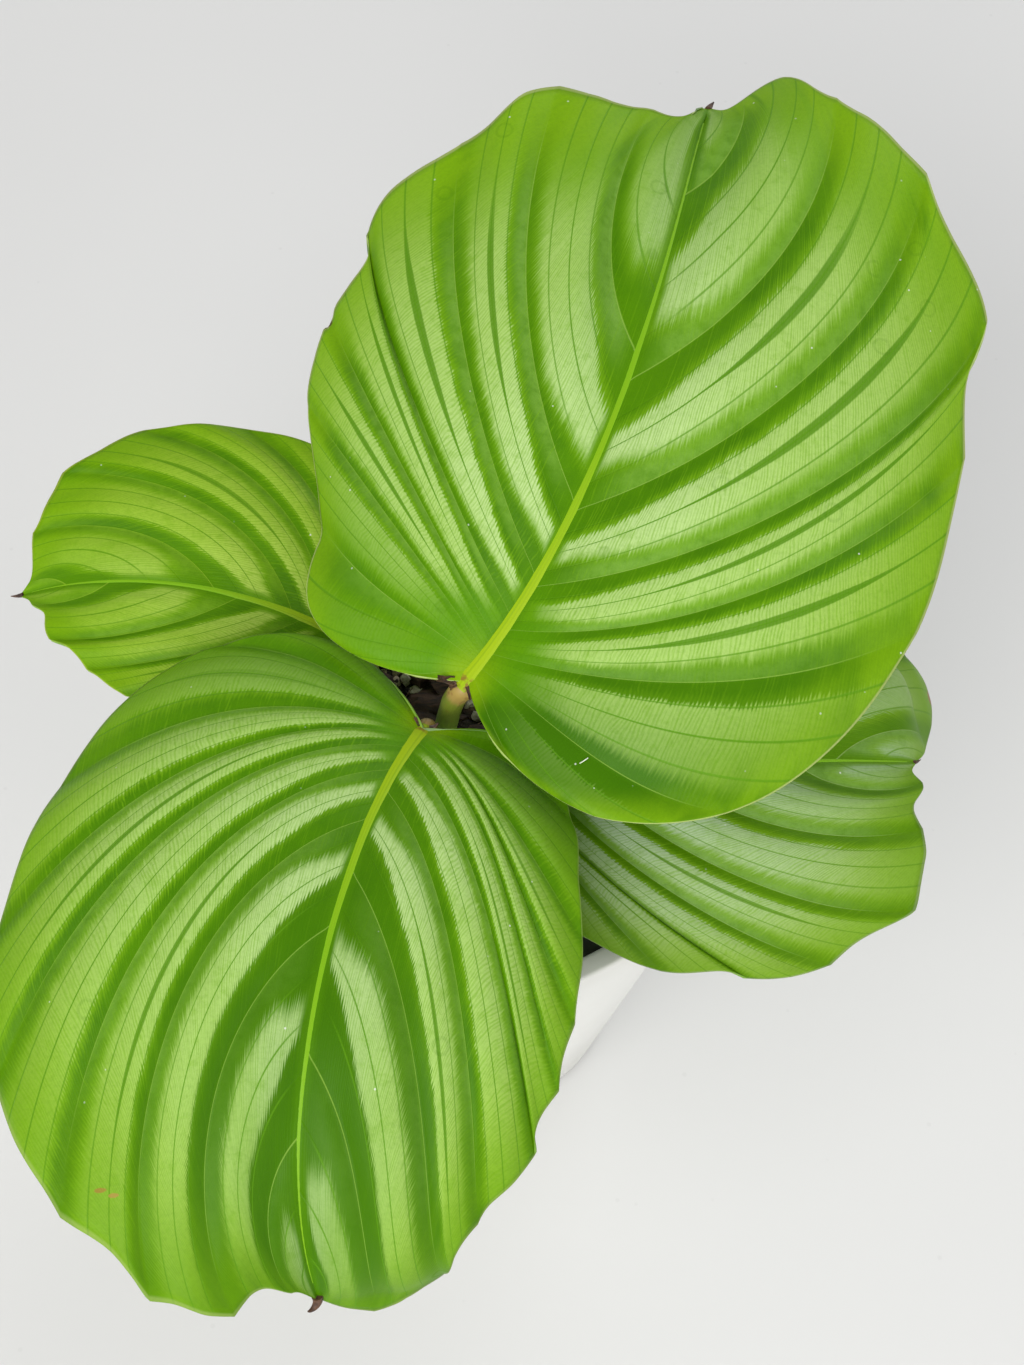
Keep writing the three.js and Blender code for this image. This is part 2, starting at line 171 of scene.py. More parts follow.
class Look:  # a material and its nodes, with place as the object's own coordinates
    def __init__(self, name):
        self.material = bpy.data.materials.new(name)
        self.material.use_nodes = True
        self.tree = self.material.node_tree
        self.tree.nodes.clear()
        self.output = self.tree.nodes.new("ShaderNodeOutputMaterial")
        self.place = self.node("ShaderNodeTexCoord", output="Object")

    def node(self, kind, settings=None, sockets=None, output=0):
        made = self.tree.nodes.new(kind)
        for key, value in (settings or {}).items():
            setattr(made, key, value)
        for key, value in (sockets or {}).items():
            if isinstance(value, Wire):
                self.tree.links.new(value.socket, made.inputs[key])
            else:
                made.inputs[key].default_value = value
        return Wire(self, made.outputs[output])

    def mix(self, factor, first, second, blend="MIX"):
        first, second = (v if isinstance(v, Wire) else colour(v) for v in (first, second))
        sockets = {0: factor, 6: first, 7: second}
        return self.node("ShaderNodeMix", {"data_type": "RGBA", "blend_type": blend}, sockets, 2)

    def layers(self, skin, coats):  # each coat is a share and a colour
        for share, tone in coats:
            skin = self.mix(share, skin, tone)
        return skin

    def vector(self, operation, *values, output=0):
        return self.node("ShaderNodeVectorMath", {"operation": operation}, dict(enumerate(values)), output)

    def first(self, place):  # the first of its three numbers
        return self.node("ShaderNodeSeparateXYZ", sockets={0: place})

    def mapName(self, name):  # the two numbers of a UV map
        split = self.first(self.node("ShaderNodeUVMap", {"uv_map": name}, output="UV"))
        return split, Wire(self, split.socket.node.outputs[1])

    def spot(self, x, y, z=0.0):  # a place made of three numbers
        return self.node("ShaderNodeCombineXYZ", sockets={0: x, 1: y, 2: z})

    def chance(self, cell, seed):  # a random number for each cell
        flat = {"noise_dimensions": "2D"}
        return self.node("ShaderNodeTexWhiteNoise", flat, {"Vector": self.spot(cell, seed)}, "Value")

    def cloud(self, scale, detail=2.0, rough=0.5, place=None):
        sockets = {"Vector": place or self.place, "Scale": scale, "Detail": detail, "Roughness": rough}
        return self.node("ShaderNodeTexNoise", sockets=sockets)

    def cells(self, scale, output="Distance"):
        sockets = {"Vector": self.place, "Scale": scale}
        return self.node("ShaderNodeTexVoronoi", sockets=sockets, output=output)

    def bump(self, height, strength, distance):
        sockets = {"Height": height, "Strength": strength, "Distance": distance}
        return self.node("ShaderNodeBump", sockets=sockets)

    def surface(self, skin, rough, **more):
        more = {key.replace("_", " "): value for key, value in more.items()}
        return self.node("ShaderNodeBsdfPrincipled", sockets={"Base Color": skin, "Roughness": rough, **more})

    def finish(self, shader):
        self.tree.links.new(shader.socket, self.output.inputs["Surface"])
        return self.material

    def cover(self, skin, rough, **more):  # a plain surface as the whole material
        return self.finish(self.surface(skin, rough, **more))

    def glowing(self, body, share, **more):  # a thin leaf, which lets a share of the light through
        sockets = {"Color": leafLooks["translucent"], **more}
        glow = self.node("ShaderNodeBsdfTranslucent", sockets=sockets)
        return self.finish(self.node("ShaderNodeMixShader", sockets={0: share, 1: body, 2: glow}))


def twoTone(name, cloud, rise, first, second):  # a look, its cloud, and a skin of two colours
    look = Look(name)
    patch = look.cloud(*cloud)
    return look, patch, look.mix(patch.rise(*rise), first, second)


def colour(value):
    return (*value, 1.0) if len(value) == 3 else value


# the leaves' form: veins leave a midrib and bend towards the tip, and the blade is pleated between them

bladeForm = {
    "rowsPerPleat": 24, "columns": 44, "thickness": 0.55 * mm,
    "radiusCrowding": 0.65, "lobeDepth": 0.045, "lobeStart": 12, "lobeEnd": 120,
    "veinHandle": 0.34, "leaving": (40, 0.3), "arriving": (-18, 0.46), "straightFrom": 80,
    "foldStart": 0.6, "tipReach": 1.2, "fade": (0.25, 40, 10), "smallRelief": 0.22, "marginWave": 1.0,
    "ribGap": 0.45 * mm, "flatBase": 0.6, "flatMargin": 0.5, "lobeMiddle": 0.45, "endSlope": 1.2,
}

leafList = [
    {"node": "leaf_1", "midrib": [(3, -21, 215), (43, 13, 250), (56, 82, 276), (68, 140, 252)],
     "left": [100, 84, 78, 80, 84, 80, 88, 80, 84, 91, 100, 117, 93.5],
     "right": [100, 91, 100, 89, 90, 88, 91, 83, 86, 95, 106, 105, 93.5],
     "halfWidth": 80, "ridge": 0.30, "fall": (0.45, 0.48), "fold": 0.45, "roll": 0, "pleats": 8,
     "pleatSlope": 0.09, "spread": 1.25, "phase": (0.75, 0.5), "crowding": ((17.5, 0.58), (30, 0.82)),
     "foot": (-6, -3), "bend": 4, "stalkRadius": 2.9,
     "bite": (-1, 0.597, 0.0125, 0.022)},
    {"node": "leaf_2", "midrib": [(-7, -28, 205), (-27, -68, 222), (-39, -142, 216), (-30, -156, 160)],
     "left": [78, 83, 84, 80, 69, 68, 61, 58, 58, 63, 73, 91, 77.5],
     "right": [78, 69, 66, 69, 67, 69, 75, 77, 82, 89, 100, 99, 77.5],
     "halfWidth": 70, "ridge": 0.30, "fall": (0.72, 0.42), "fold": 0.45, "roll": 0, "pleats": 9,
     "pleatSlope": 0.09, "spread": 1.5, "phase": (0, 0.75), "crowding": ((15, 0.77), (17, 0.77)),
     "foot": (-20, -16), "bend": 10, "stalkRadius": 2.7},
    {"node": "leaf_3", "midrib": [(-27, 15, 178), (-56, 30, 188), (-94, 36, 186), (-123, 39, 168)],
     "left": [52, 47, 42, 41, 37, 35, 35, 34, 37, 42, 47, 50, 51],
     "right": [52, 47, 47, 46, 48, 49, 51, 51, 51, 54, 52, 51, 51],
     "halfWidth": 48, "ridge": 0.22, "fall": (0.35, 0.30), "fold": 0.30, "roll": 15, "pleats": 7,
     "pleatSlope": 0.08, "spread": 1.3, "phase": (0.5, 0.25), "crowding": ((22, 0.8), (22, 0.8)),
     "foot": (-22, 2), "bend": 8, "stalkRadius": 2.2},
    {"node": "leaf_4", "midrib": [(12, -28, 174), (46, -26, 190), (112, -28, 190), (128, -11, 160)],
     "left": [54, 66, 84, 80, 62, 57, 54, 53, 54, 57, 59, 62, 63],
     "right": [54, 49, 49, 46, 52, 56, 54, 55, 52, 56, 61, 68, 63],
     "halfWidth": 57, "ridge": 0.22, "fall": (0.33, 0.54), "fold": 0.30, "roll": -12, "pleats": 8,
     "pleatSlope": 0.08, "spread": 1.3, "phase": (0.5, 0.75), "crowding": ((24, 0.8), (24, 0.8)),
     "foot": (8, -12), "bend": 8, "stalkRadius": 2.4},
]


def cubicThrough(values, position):  # a smooth line through evenly spaced values
    values = np.asarray(values, float)
    last = len(values) - 1
    position = np.asarray(position, float) * last
    i = np.minimum(np.floor(position).astype(int), last - 1)
    t = position - i
    before, here = values[np.maximum(i - 1, 0)], values[i]
    after, beyond = values[i + 1], values[np.minimum(i + 2, last)]
    slopeIn = np.where(i == 0, 0, (after - before) / 2)
    slopeOut = np.where(i == last - 1, bladeForm["endSlope"] * (after - here), (beyond - here) / 2)
    return (here * (2 * t**3 - 3 * t**2 + 1) + slopeIn * (t**3 - 2 * t**2 + t)
            + after * (3 * t**2 - 2 * t**3) + slopeOut * (t**3 - t**2))


def ramp(value, low, high):
    return np.clip((value - low) / (high - low), 0, 1)


def bezier(t, a, b, c, d):
    return (1 - t)**3 * a + 3 * (1 - t)**2 * t * b + 3 * (1 - t) * t**2 * c + t**3 * d


class Blade:  # the blade's surface, in metres
    def __init__(self, leaf):
        self.leaf = leaf
        self.points = np.array(leaf["midrib"], float) * mm
        self.steps = np.linspace(0, 1, 400)
        line = self.midribAt(self.steps)
        self.run = np.r_[0, np.cumsum(np.linalg.norm(np.diff(line, axis=0), axis=1))]
        self.length = self.run[-1]

    def midribAt(self, t):
        return bezier(np.asarray(t, float)[..., None], *self.points)

    def frame(self, distance):  # the midrib's point, forward, right and out of the blade
        held = np.clip(distance, 0, self.length)
        t = np.interp(held, self.run, self.steps)[..., None]
        a, b, c, d = self.points
        forward = (1 - t)**2 * (b - a) + 2 * (1 - t) * t * (c - b) + t**2 * (d - c)
        forward /= np.linalg.norm(forward, axis=-1, keepdims=True)
        point = self.midribAt(t[..., 0]) + forward * (distance - held)[..., None]
        level = np.cross(forward, [0.0, 0.0, 1.0])
        level /= np.linalg.norm(level, axis=-1, keepdims=True)
        up = np.cross(level, forward)
        roll = math.radians(self.leaf["roll"])
        right = level * math.cos(roll) + up * math.sin(roll)
        normal = up * math.cos(roll) - level * math.sin(roll)
        return point, forward, right, normal

    def lift(self, distance, across, extra):
        leaf, form = self.leaf, bladeForm
        point, _, right, normal = self.frame(distance)
        width = leaf["halfWidth"] * mm
        share = np.abs(across) / width
        fall = np.where(across > 0, leaf["fall"][1], leaf["fall"][0])
        start = form["foldStart"]
        toTip = np.clip((distance / self.length - start) / (1 - start), 0, form["tipReach"])
        slope = leaf["ridge"] + leaf["fold"] * toTip**2
        height = width * (slope * share - fall * share**2) + extra
        return point + right * across[..., None] + normal * height[..., None]

    # side is -1 or 1, along is 0 at the tip and 1 at the base, outward 0 at the midrib and 1 at the margin
    def surface(self, side, along, outward):
        leaf, form = self.leaf, bladeForm
        which = int(side > 0)
        radii = leaf[("left", "right")[which]]
        degrees = 180 * along**leaf["spread"]
        angle = np.radians(degrees)
        pleat = along * leaf["pleats"] - leaf["phase"][which]
        bulge = np.abs(np.sin(math.pi * pleat))
        farEnd = np.maximum(np.cos(math.pi / 2 * degrees / form["lobeEnd"]), 0)
        farEnd = farEnd * np.minimum(degrees / form["lobeStart"], 1)
        radius = cubicThrough(radii, (degrees / 180)**form["radiusCrowding"]) * mm
        radius = radius * (1 + form["lobeDepth"] * farEnd * (form["lobeMiddle"] - bulge))
        endX = self.length / 2 + radius * np.cos(angle)
        endY = radius * np.sin(angle)
        scale, power = leaf["crowding"][which]
        gathered = (degrees / scale)**power
        start = min(self.length, self.length / 2 + radii[0] * mm) * np.exp(-gathered)
        reach = np.hypot(endX - start, endY)
        handle = form["veinHandle"] * reach
        straight = ramp(degrees, form["straightFrom"], 180)
        chord = np.arctan2(endY, endX - start)
        ways = (np.radians(form[key][0] + form[key][1] * degrees) for key in ("leaving", "arriving"))
        leaving, arriving = (way + (chord - way) * straight for way in ways)
        b, u = outward, 1 - outward
        x = bezier(b, start, start + handle * np.cos(leaving), endX - handle * np.cos(arriving), endX)
        y = bezier(b, 0, handle * np.sin(leaving), endY - handle * np.sin(arriving), endY)
        turn = 180 * leaf["spread"] * np.maximum(along, 1e-6)**(leaf["spread"] - 1) / leaf["pleats"]
        inner = start * gathered * power * turn / np.maximum(degrees, 1)
        spacing = u * inner + b * radius * np.radians(turn)
        near, short, tip = form["fade"]
        fade = np.minimum(b / near, 1) * np.minimum(reach / (short * mm), 1) * np.minimum(degrees / tip, 1)
        small = np.abs(np.sin(4 * math.pi * pleat)) - 0.5
        nearBase = ramp(along, 0.6, 1) * np.clip(2.2 - 2.4 * b, 0, 1)
        fade = fade * (1 - form["flatBase"] * nearBase)
        fade = fade * (1 - form["flatMargin"] * ramp(b, 0.75, 1))
        height = leaf["pleatSlope"] * spacing * fade * (bulge - 0.5 + form["smallRelief"] * 0.25 * small)
        wave = np.sin(5.3 * pleat + 2.1 * which) + 0.6 * np.sin(8.9 * pleat + 1.3)  # out of step
        height = height + form["marginWave"] * mm * 0.5 * wave * b**4 * np.minimum(degrees / 20, 1)
        aside = form["ribGap"] * u * np.minimum(degrees / 10, 1) * np.minimum((180 - degrees) / 10, 1)
        return self.lift(x, side * np.maximum(y, aside), height), pleat


def makeBlade(leaf, materials):
    form = bladeForm
    blade = Blade(leaf)
    rows, columns = leaf["pleats"] * form["rowsPerPleat"], form["columns"]
    name = "blade" + leaf["node"][-1]
    obj = addPrimitive("grid", name, x_subdivisions=2 * columns + 1, y_subdivisions=rows, size=2)
    place = pointsOf(obj)
    column = np.rint((place[:, 0] + 1) / 2 * (2 * columns + 1))
    across = np.where(column <= columns, column - columns, column - columns - 1) / columns
    outward, along = np.abs(across), np.clip((place[:, 1] + 1) / 2, 0, 1)
    halves = {}
    for side in (-1, 1):
        bitten = outward
        if leaf.get("bite", (0,))[0] == side:  # the side, the place along, the width and the depth of a bite
            _, spot, width, depth = leaf["bite"]
            bitten = outward * (1 - depth * np.exp(-((along - spot) / width)**4) * outward**8)
        points, pleat = blade.surface(side, along, bitten)
        halves[side] = (points, pleat, veinRun(blade, side, along, outward))
    points = np.where((column > columns)[:, None], halves[1][0], halves[-1][0])
    ends = (along < 0.0001) | (along > 0.9999)  # the two halves close at the tip and at the base
    points[ends] = ((halves[1][0] + halves[-1][0]) / 2)[ends]
    placePoints(obj, points)
    mesh = obj.data
    corners = cornersOf(mesh)
    faceSide = np.repeat([column[list(p.vertices)].mean() > columns + 0.5 for p in mesh.polygons], 4)
    pleats = np.where(faceSide, halves[1][1][corners], halves[-1][1][corners])
    runs = np.where(faceSide, halves[1][2][corners], halves[-1][2][corners])
    writeMap(mesh, "veins", pleats, runs * 100)  # pleats, and centimetres along the vein
    writeMap(mesh, "place", along[corners], outward[corners])
    writeMap(mesh, "side", faceSide.astype(float), faceSide.astype(float))
    mergeClose(obj)
    if np.mean([p.normal.z for p in mesh.polygons]) < 0:
        editWhole(obj, bpy.ops.mesh.flip_normals)
    finishPiece(obj, leaf["node"], materials, smoothAngle=80)
    applyModifier(obj, "SOLIDIFY", thickness=form["thickness"], offset=-1,
                  material_offset=1, material_offset_rim=2, use_even_offset=False)
    return blade


def veinRun(blade, side, along, outward, steps=24):  # metres along the vein from the midrib
    total = np.zeros(len(along))
    before = blade.surface(side, along, outward * 0)[0]
    for i in range(1, steps + 1):
        point = blade.surface(side, along, outward * i / steps)[0]
        total += np.linalg.norm(point - before, axis=1)
        before = point
    return total


def writeMap(mesh, name, first, second):
    layer = mesh.uv_layers.new(name=name)
    layer.uv.foreach_set("vector", np.stack([first, second], 1).astype(np.float32).ravel())


# round stems of any course: stalks, ribs, tips, fibres

def makeStem(name, stations, sides=20, squash=None):
    # stations are (point, radius); squash gives (normal, share) to flatten each ring along a direction
    obj = addPrimitive("cylinder", name, vertices=sides, radius=1, depth=1, end_fill_type="TRIFAN",
                       location=(0, 0, 0.5))
    applyPlace()
    selectParts(obj, "EDGE", lambda a, b: abs(a.z - b.z) > 0.5)
    bpy.ops.mesh.subdivide(number_cuts=len(stations) - 2)
    setMode("OBJECT")
    shape = pointsOf(obj)
    ring = np.rint(shape[:, 2] * (len(stations) - 1)).astype(int)
    line = np.array([s[0] for s in stations], float)
    radii = np.array([s[1] for s in stations], float)
    forward = np.gradient(line, axis=0)
    forward /= np.linalg.norm(forward, axis=1, keepdims=True)
    guide = np.array([1.0, 0.0, 0.0]) if squash is None else squash[0][0]
    frames = []
    for i, f in enumerate(forward):
        wanted = guide if squash is None else squash[0][i]
        guide = wanted - f * wanted.dot(f)
        guide /= np.linalg.norm(guide)
        frames.append((guide, np.cross(f, guide)))
    first = np.array([f[0] for f in frames])[ring]
    second = np.array([f[1] for f in frames])[ring]
    flat = 1.0 if squash is None else squash[1]
    placed = line[ring] + radii[ring, None] * (flat * shape[:, :1] * first + shape[:, 1:2] * second)
    placePoints(obj, placed)
    corners = cornersOf(obj.data)
    turn = np.arctan2(shape[:, 1], shape[:, 0]) / (2 * math.pi)
    writeMap(obj.data, "stem", turn[corners], shape[corners, 2])
    mergeClose(obj)
    return obj


stalkForm = {"depth": 30, "upright": 0.55, "steps": 56, "ribSteps": 44, "ribEnd": 0.97, "mixTop": 134,
             "joint": (0.07, 0.93, 0.06), "under": (0.95, 0.78, 0.7), "sink": (1.0, 0.35),
             "top": (1.1, 1.03, 0.42), "topFlat": 0.26, "topStart": 1.6 * mm, "topEnd": 0.55,
             "uneven": (0.015, 37), "narrowFrom": 0.9, "sinkFrom": 0.72, "ribMargin": 4}
stalkForm["whole"] = (stalkForm["steps"] + stalkForm["ribSteps"] - 2) / (stalkForm["steps"] - 1)


def stalkLine(leaf, count):  # from the foot in the mix to the blade's base
    form = stalkForm
    base, ahead = np.array(leaf["midrib"][0], float), np.array(leaf["midrib"][1], float)
    forward = (ahead - base) / np.linalg.norm(ahead - base)
    foot = np.array([*leaf["foot"], form["mixTop"] - form["depth"]], float)
    lower = foot + [0, 0, (base[2] - foot[2]) * form["upright"]]
    upper = base - forward * leaf["bend"]
    return bezier(np.linspace(0, 1, count)[:, None], foot, lower, upper, base) * mm


def ribReach(leaf, blade):  # how far the midrib goes, ending inside the margin
    tip = leaf["left"][0]
    shortest = min(tip, leaf["left"][1], leaf["right"][1])
    inside = blade.length / 2 + (shortest + tip - stalkForm["ribMargin"]) / 2 * mm
    return min(stalkForm["ribEnd"] * blade.length, inside)


def makeStalk(leaf, blade, material):  # the stalk and, in one run with it, the midrib's round underside
    form, thick = stalkForm, leaf["stalkRadius"] * mm
    line = stalkLine(leaf, form["steps"])
    swelling, place, spread = form["joint"]
    start, loss, power = form["under"]
    share = np.linspace(0, ribReach(leaf, blade) / blade.length, form["ribSteps"])
    point, _, _, normal = blade.frame(share * blade.length)
    ribRadius = thick * (start - loss * share**power)
    sunk = form["sink"][0] * ribRadius + form["sink"][1] * mm
    height, pace = form["uneven"]
    stations = []
    for i, spot in enumerate(line[:-1]):
        t = i / (len(line) - 1)
        radius = thick * (1 + swelling * math.exp(-((t - place) / spread)**2) + height * math.sin(pace * t))
        radius *= 1 - (1 - start) * max(t - form["narrowFrom"], 0) / (1 - form["narrowFrom"])
        lower = max((t - form["sinkFrom"]) / (1 - form["sinkFrom"]), 0)**1.5
        stations.append((spot - normal[0] * sunk[0] * lower, radius))
    stations += list(zip(point - normal * sunk[:, None], ribRadius))
    stalk = makeStem("stalk" + leaf["node"][-1], stations, sides=24)
    finishPiece(stalk, leaf["node"], [material])


def makeRib(leaf, blade, material):  # the midrib's low, flat top
    form = stalkForm
    distance = np.linspace(-form["topStart"], ribReach(leaf, blade), form["ribSteps"])
    point, _, _, normal = blade.frame(distance)
    start, loss, power = form["top"]
    share = np.maximum(distance, 0) / blade.length
    radius = leaf["stalkRadius"] * mm * (start - loss * share**power)
    radius[0] *= form["topEnd"]
    rib = makeStem("midrib" + leaf["node"][-1], list(zip(point, radius)), sides=24,
                   squash=(normal, form["topFlat"]))
    finishPiece(rib, leaf["node"], [material])


# leaf materials

# the grey colour laid on one side of each crease is painted sheen, and the shade colour is painted shade
leafLooks = {
    "dark": (0.078, 0.225, 0.0003), "deep": (0.042, 0.15, 0.0003), "paintedSheen": (0.165, 0.345, 0.035),
    "mid": (0.165, 0.365, 0.006), "base": (0.095, 0.28, 0.0006), "shade": (0.047, 0.155, 0.0003),
    "silverIn": (0.48, 0.665, 0.26), "silver": (0.38, 0.575, 0.145), "silverOut": (0.275, 0.465, 0.045),
    "lime": (0.19, 0.38, 0.004), "veinPale": (0.30, 0.50, 0.07), "veinDark": (0.10, 0.27, 0.006),
    "ribSide": (0.235, 0.41, 0.002), "cream": (0.44, 0.54, 0.17), "dust": (0.75, 0.78, 0.7),
    "under": (0.25, 0.40, 0.14), "underVein": (0.40, 0.52, 0.18),
    "strandsPerCm": 10.0, "specular": 0.08,
    "translucent": (0.28, 0.55, 0.02, 1.0), "translucentShare": 0.12, "underShare": 0.2,
}

# shares of the pale edge, lime and silver, how both fade, how much painted shade darkens the tip and
# the base lobe, centimetres of bare green beside the midrib, the side of the left and right creases
# that gets painted sheen (1 baseward, -1 tipward), a tint (leaf_4's bluish one is painted sheen), a seed, and
# how much the pattern is calmed
leafTones = {
    "leaf_1": {"edge": 0.9, "fadeTip": 0.24, "lime": 0.85, "lobeShade": 1.0, "tipShade": 0.0, "bare": 2.2,
               "silver": 1.0, "paintedSheen": (-1, 1), "tintAndSheen": (1.0, 1.0, 1.0), "seed": 1.0, "calm": 0.0},
    "leaf_2": {"edge": 0.35, "fadeTip": 0.03, "lime": 0.25, "lobeShade": 0.0, "tipShade": 0.85, "bare": 1.2,
               "silver": 0.95, "paintedSheen": (1, 1), "tintAndSheen": (1.0, 1.0, 1.0), "seed": 5.0, "calm": 0.0},
    "leaf_3": {"edge": 0.6, "fadeTip": 0.1, "lime": 0.5, "lobeShade": 0.0, "tipShade": 0.0, "bare": 1.0,
               "silver": 0.82, "paintedSheen": (1, 1), "tintAndSheen": (0.96, 0.95, 0.4), "seed": 9.0, "calm": 0.08},
    "leaf_4": {"edge": 0.3, "fadeTip": 0.05, "lime": 0.1, "lobeShade": 0.2, "tipShade": 0.0, "bare": 0.8,
               "silver": 0.95, "paintedSheen": (1, 1), "tintAndSheen": (1.0, 0.9, 1.75), "seed": 14.0, "calm": 0.1},
}


blemishes = {  # place and reach in mm, and colour, of stains on the blades
    "leaf_1": [((-33.5, 76.0, 239), (1.6, 2.6, 6), (0.10, 0.05, 0.02))],
    "leaf_2": [((-76.5, -142.0, 195), (1.5, 0.55, 6), (0.30, 0.20, 0.03)),
               ((-73.4, -143.2, 195), (1.3, 0.5, 6), (0.36, 0.25, 0.05))],
    "leaf_4": [((132.0, 13.0, 155), (1.4, 2.4, 8), (0.30, 0.15, 0.08))],
}


def bladeTop(leaf):
    tone, c = leafTones[leaf["node"]], leafLooks
    look = Look("bladeTop" + leaf["node"][-1])
    pleat, run = look.mapName("veins")
    along, outward = look.mapName("place")
    f = pleat.fraction()  # 0 at the crease on the tip's side, 1 at the one on the base's side
    chance, other = (look.chance(pleat.floor(), tone["seed"] + shift) for shift in (0.0, 3.0))
    drift = look.cloud(1.0, 3.0, place=look.spot(pleat * 1.3, run * 0.8, tone["seed"]))
    strand = ((run * c["strandsPerCm"] + drift * 6) * (2 * math.pi)).sine() * 0.5 + 0.5
    strand = strand.rise(0.15, 0.8)
    mottle = look.cloud(240.0, 4.0, 0.65)
    tuft = look.cloud(1.0, 2.0, 0.6, look.spot(pleat * 0.7, run * 11.0, tone["seed"]))
    comb = (strand - 0.5) * 0.035 + (tuft - 0.5) * 0.13
    wander = (drift - 0.5) * 0.10
    # the silver between two creases: its tipward edge is firm, its baseward edge is combed
    close = 1 - outward.rise(0.03, 0.26)
    # near the tip the silver bands also narrow, by the same share as the painted tip shade
    narrow = (1 - along.rise(0.06, 0.4)) * (tone["tipShade"] * 0.1)
    low = close * 0.14 + chance * 0.05 + narrow + 0.205
    high = other * 0.06 - close * 0.16 - narrow + 0.79
    g = f + wander + comb
    silver = g.rise(low, low + 0.05) * (1 - g.rise(high - 0.07, high + 0.08))
    bare = along.rise(0.3, 0.8) * tone["bare"] + 0.3  # centimetres of green between the midrib and the silver
    away = (run + drift * 0.8 - 0.4).rise(bare * 0.4, bare * 1.3)
    silver = silver * away * (1 - along.rise(0.64, 0.9) * 0.88)
    faded = outward + (1 - along.rise(0.1, 0.5)) * tone["fadeTip"]
    silver = silver * (1 - faded.rise(0.76, 1.06) * 0.85) * tone["silver"]
    silver = silver * (along.rise(0.03, 0.25) * 0.45 + 0.55)
    # a dark lens along the middle vein of some bands
    fromMiddle = abs(f - 0.5)
    lens = outward.rise(0.2, 0.5) * (1 - outward.rise(0.6, 0.95)) * chance.rise(0.3, 0.62) * 0.05 + 0.005
    middle = 1 - (fromMiddle + (tuft - 0.5) * 0.012).rise(lens * 0.75, lens * 1.1)
    fine = 1 - abs(fromMiddle - 0.245).smaller(fromMiddle).rise(0.003, 0.013)
    toCrease = f.smaller(1 - f)
    primary = (1 - toCrease.rise(0.002, 0.008)) * (1 - outward.rise(0.7, 0.97))
    # colours
    patch, grain = look.cloud(45.0, 4.0, 0.6), look.cloud(1100.0, 2.0, 0.7)
    onRight, _ = look.mapName("side")
    # painted sheen: a greyish band on one side of each crease stands in for the gloss that side reflects
    sheenSides = {1: f.rise(0.66, 0.86), -1: 1 - f.rise(0.04, 0.26)}
    left, right = tone["paintedSheen"]
    sheenMask = sheenSides[right] * onRight + sheenSides[left] * (1 - onRight)
    sheenMask = sheenMask * outward.rise(0.01, 0.15) * (1 - outward.rise(0.6, 0.95))
    nearSilver = g.rise(low - 0.12, low + 0.02) * (1 - g.rise(high, high + 0.16))
    basal = ((1 - away) * along.rise(0.35, 0.6)).larger(along.rise(0.7, 0.95) * 0.8)
    # painted shade: leaf_1's right base lobe and leaf_2's tip, which turn away from the light, are painted a
    # darker green
    paintedShade = onRight * along.rise(0.6, 0.8) * outward.rise(0.08, 0.35) * tone["lobeShade"]
    paintedShade = paintedShade + (1 - along.rise(0.1, 0.46)) * tone["tipShade"]
    limeMask = tone["lime"] * outward.rise(0.7, 1.0)
    limeMask = limeMask + (1 - along.rise(0.0, 0.5)) * outward.rise(0.45, 1.0) * (tone["lime"] * 0.5)
    green = look.layers(c["dark"], [
        (patch.rise(0.38, 0.66) * 0.55, c["deep"]),
        (sheenMask * (mottle.rise(0.3, 0.6) * 0.5 + 0.5), c["paintedSheen"]),
        (nearSilver * 0.8, c["mid"]), (strand * tuft.rise(0.48, 0.7) * 0.45, c["mid"]),
        (basal * 0.8, c["base"]), (paintedShade * (patch * 0.4 + 0.8), c["shade"]),
        (limeMask * drift.rise(0.2, 0.6), c["lime"])])
    pale = look.layers(c["silverIn"], [
        (outward.rise(0.12, 0.5).larger(along.rise(0.3, 0.6)), c["silver"]),
        (outward.rise(0.5, 0.95), c["silverOut"]),
        ((1 - strand) * 0.48 * tuft.rise(0.3, 0.6), c["mid"]), (mottle.rise(0.52, 0.7) * 0.3, c["mid"])])
    halo = 1 - (run + mottle * 0.3 - 0.15).rise(0.08, 0.42)
    ribSide = 1 - (run - along.rise(0.85, 1.0) * 0.25).rise(0.1, 1.1)
    skin = look.layers(look.mix(silver, green, pale), [
        (halo * 0.55, c["dark"]), (middle * (silver * 0.85), c["dark"]),
        (fine * 0.75 * outward.rise(0.04, 0.2), c["veinDark"]), (tone["calm"], c["mid"]),
        (ribSide * 0.9 * along.rise(0.55, 0.98), c["ribSide"]), (primary * 0.55, c["veinPale"]),
        ((grain - 0.42).larger(0.0) * 0.5, c["deep"]),
        (outward.rise(0.99, 0.996) * tone["edge"], c["cream"])])
    # a tint over the whole top: leaf_3's is colour, leaf_4's bluish tint is painted sheen
    skin = look.mix(1.0, skin, tone["tintAndSheen"], "MULTIPLY")
    # dust and dried drops
    dustPick = look.first(look.cells(200.0, "Color"))
    dust = (1 - look.cells(200.0).rise(0.035, 0.07)) * dustPick.rise(0.66, 0.67)
    skin = look.mix(dust * 0.75 * look.cloud(30.0).rise(0.45, 0.6), skin, c["dust"])
    dropPick = look.first(look.cells(75.0, "Color"))
    ring = (1 - abs(look.cells(75.0) - 0.16).rise(0.015, 0.04)) * dropPick.rise(0.78, 0.79)
    skin = look.mix(ring * 0.16, skin, c["deep"])
    for spot, reach, stain in blemishes.get(leaf["node"], []):
        offset = look.vector("SUBTRACT", look.place, [v * mm for v in spot])
        scaled = look.vector("DIVIDE", offset, [v * mm for v in reach])
        far = look.vector("LENGTH", scaled, output="Value")
        skin = look.mix((1 - (far + tuft * 0.5).rise(1.0, 1.35)) * 0.9, skin, stain)
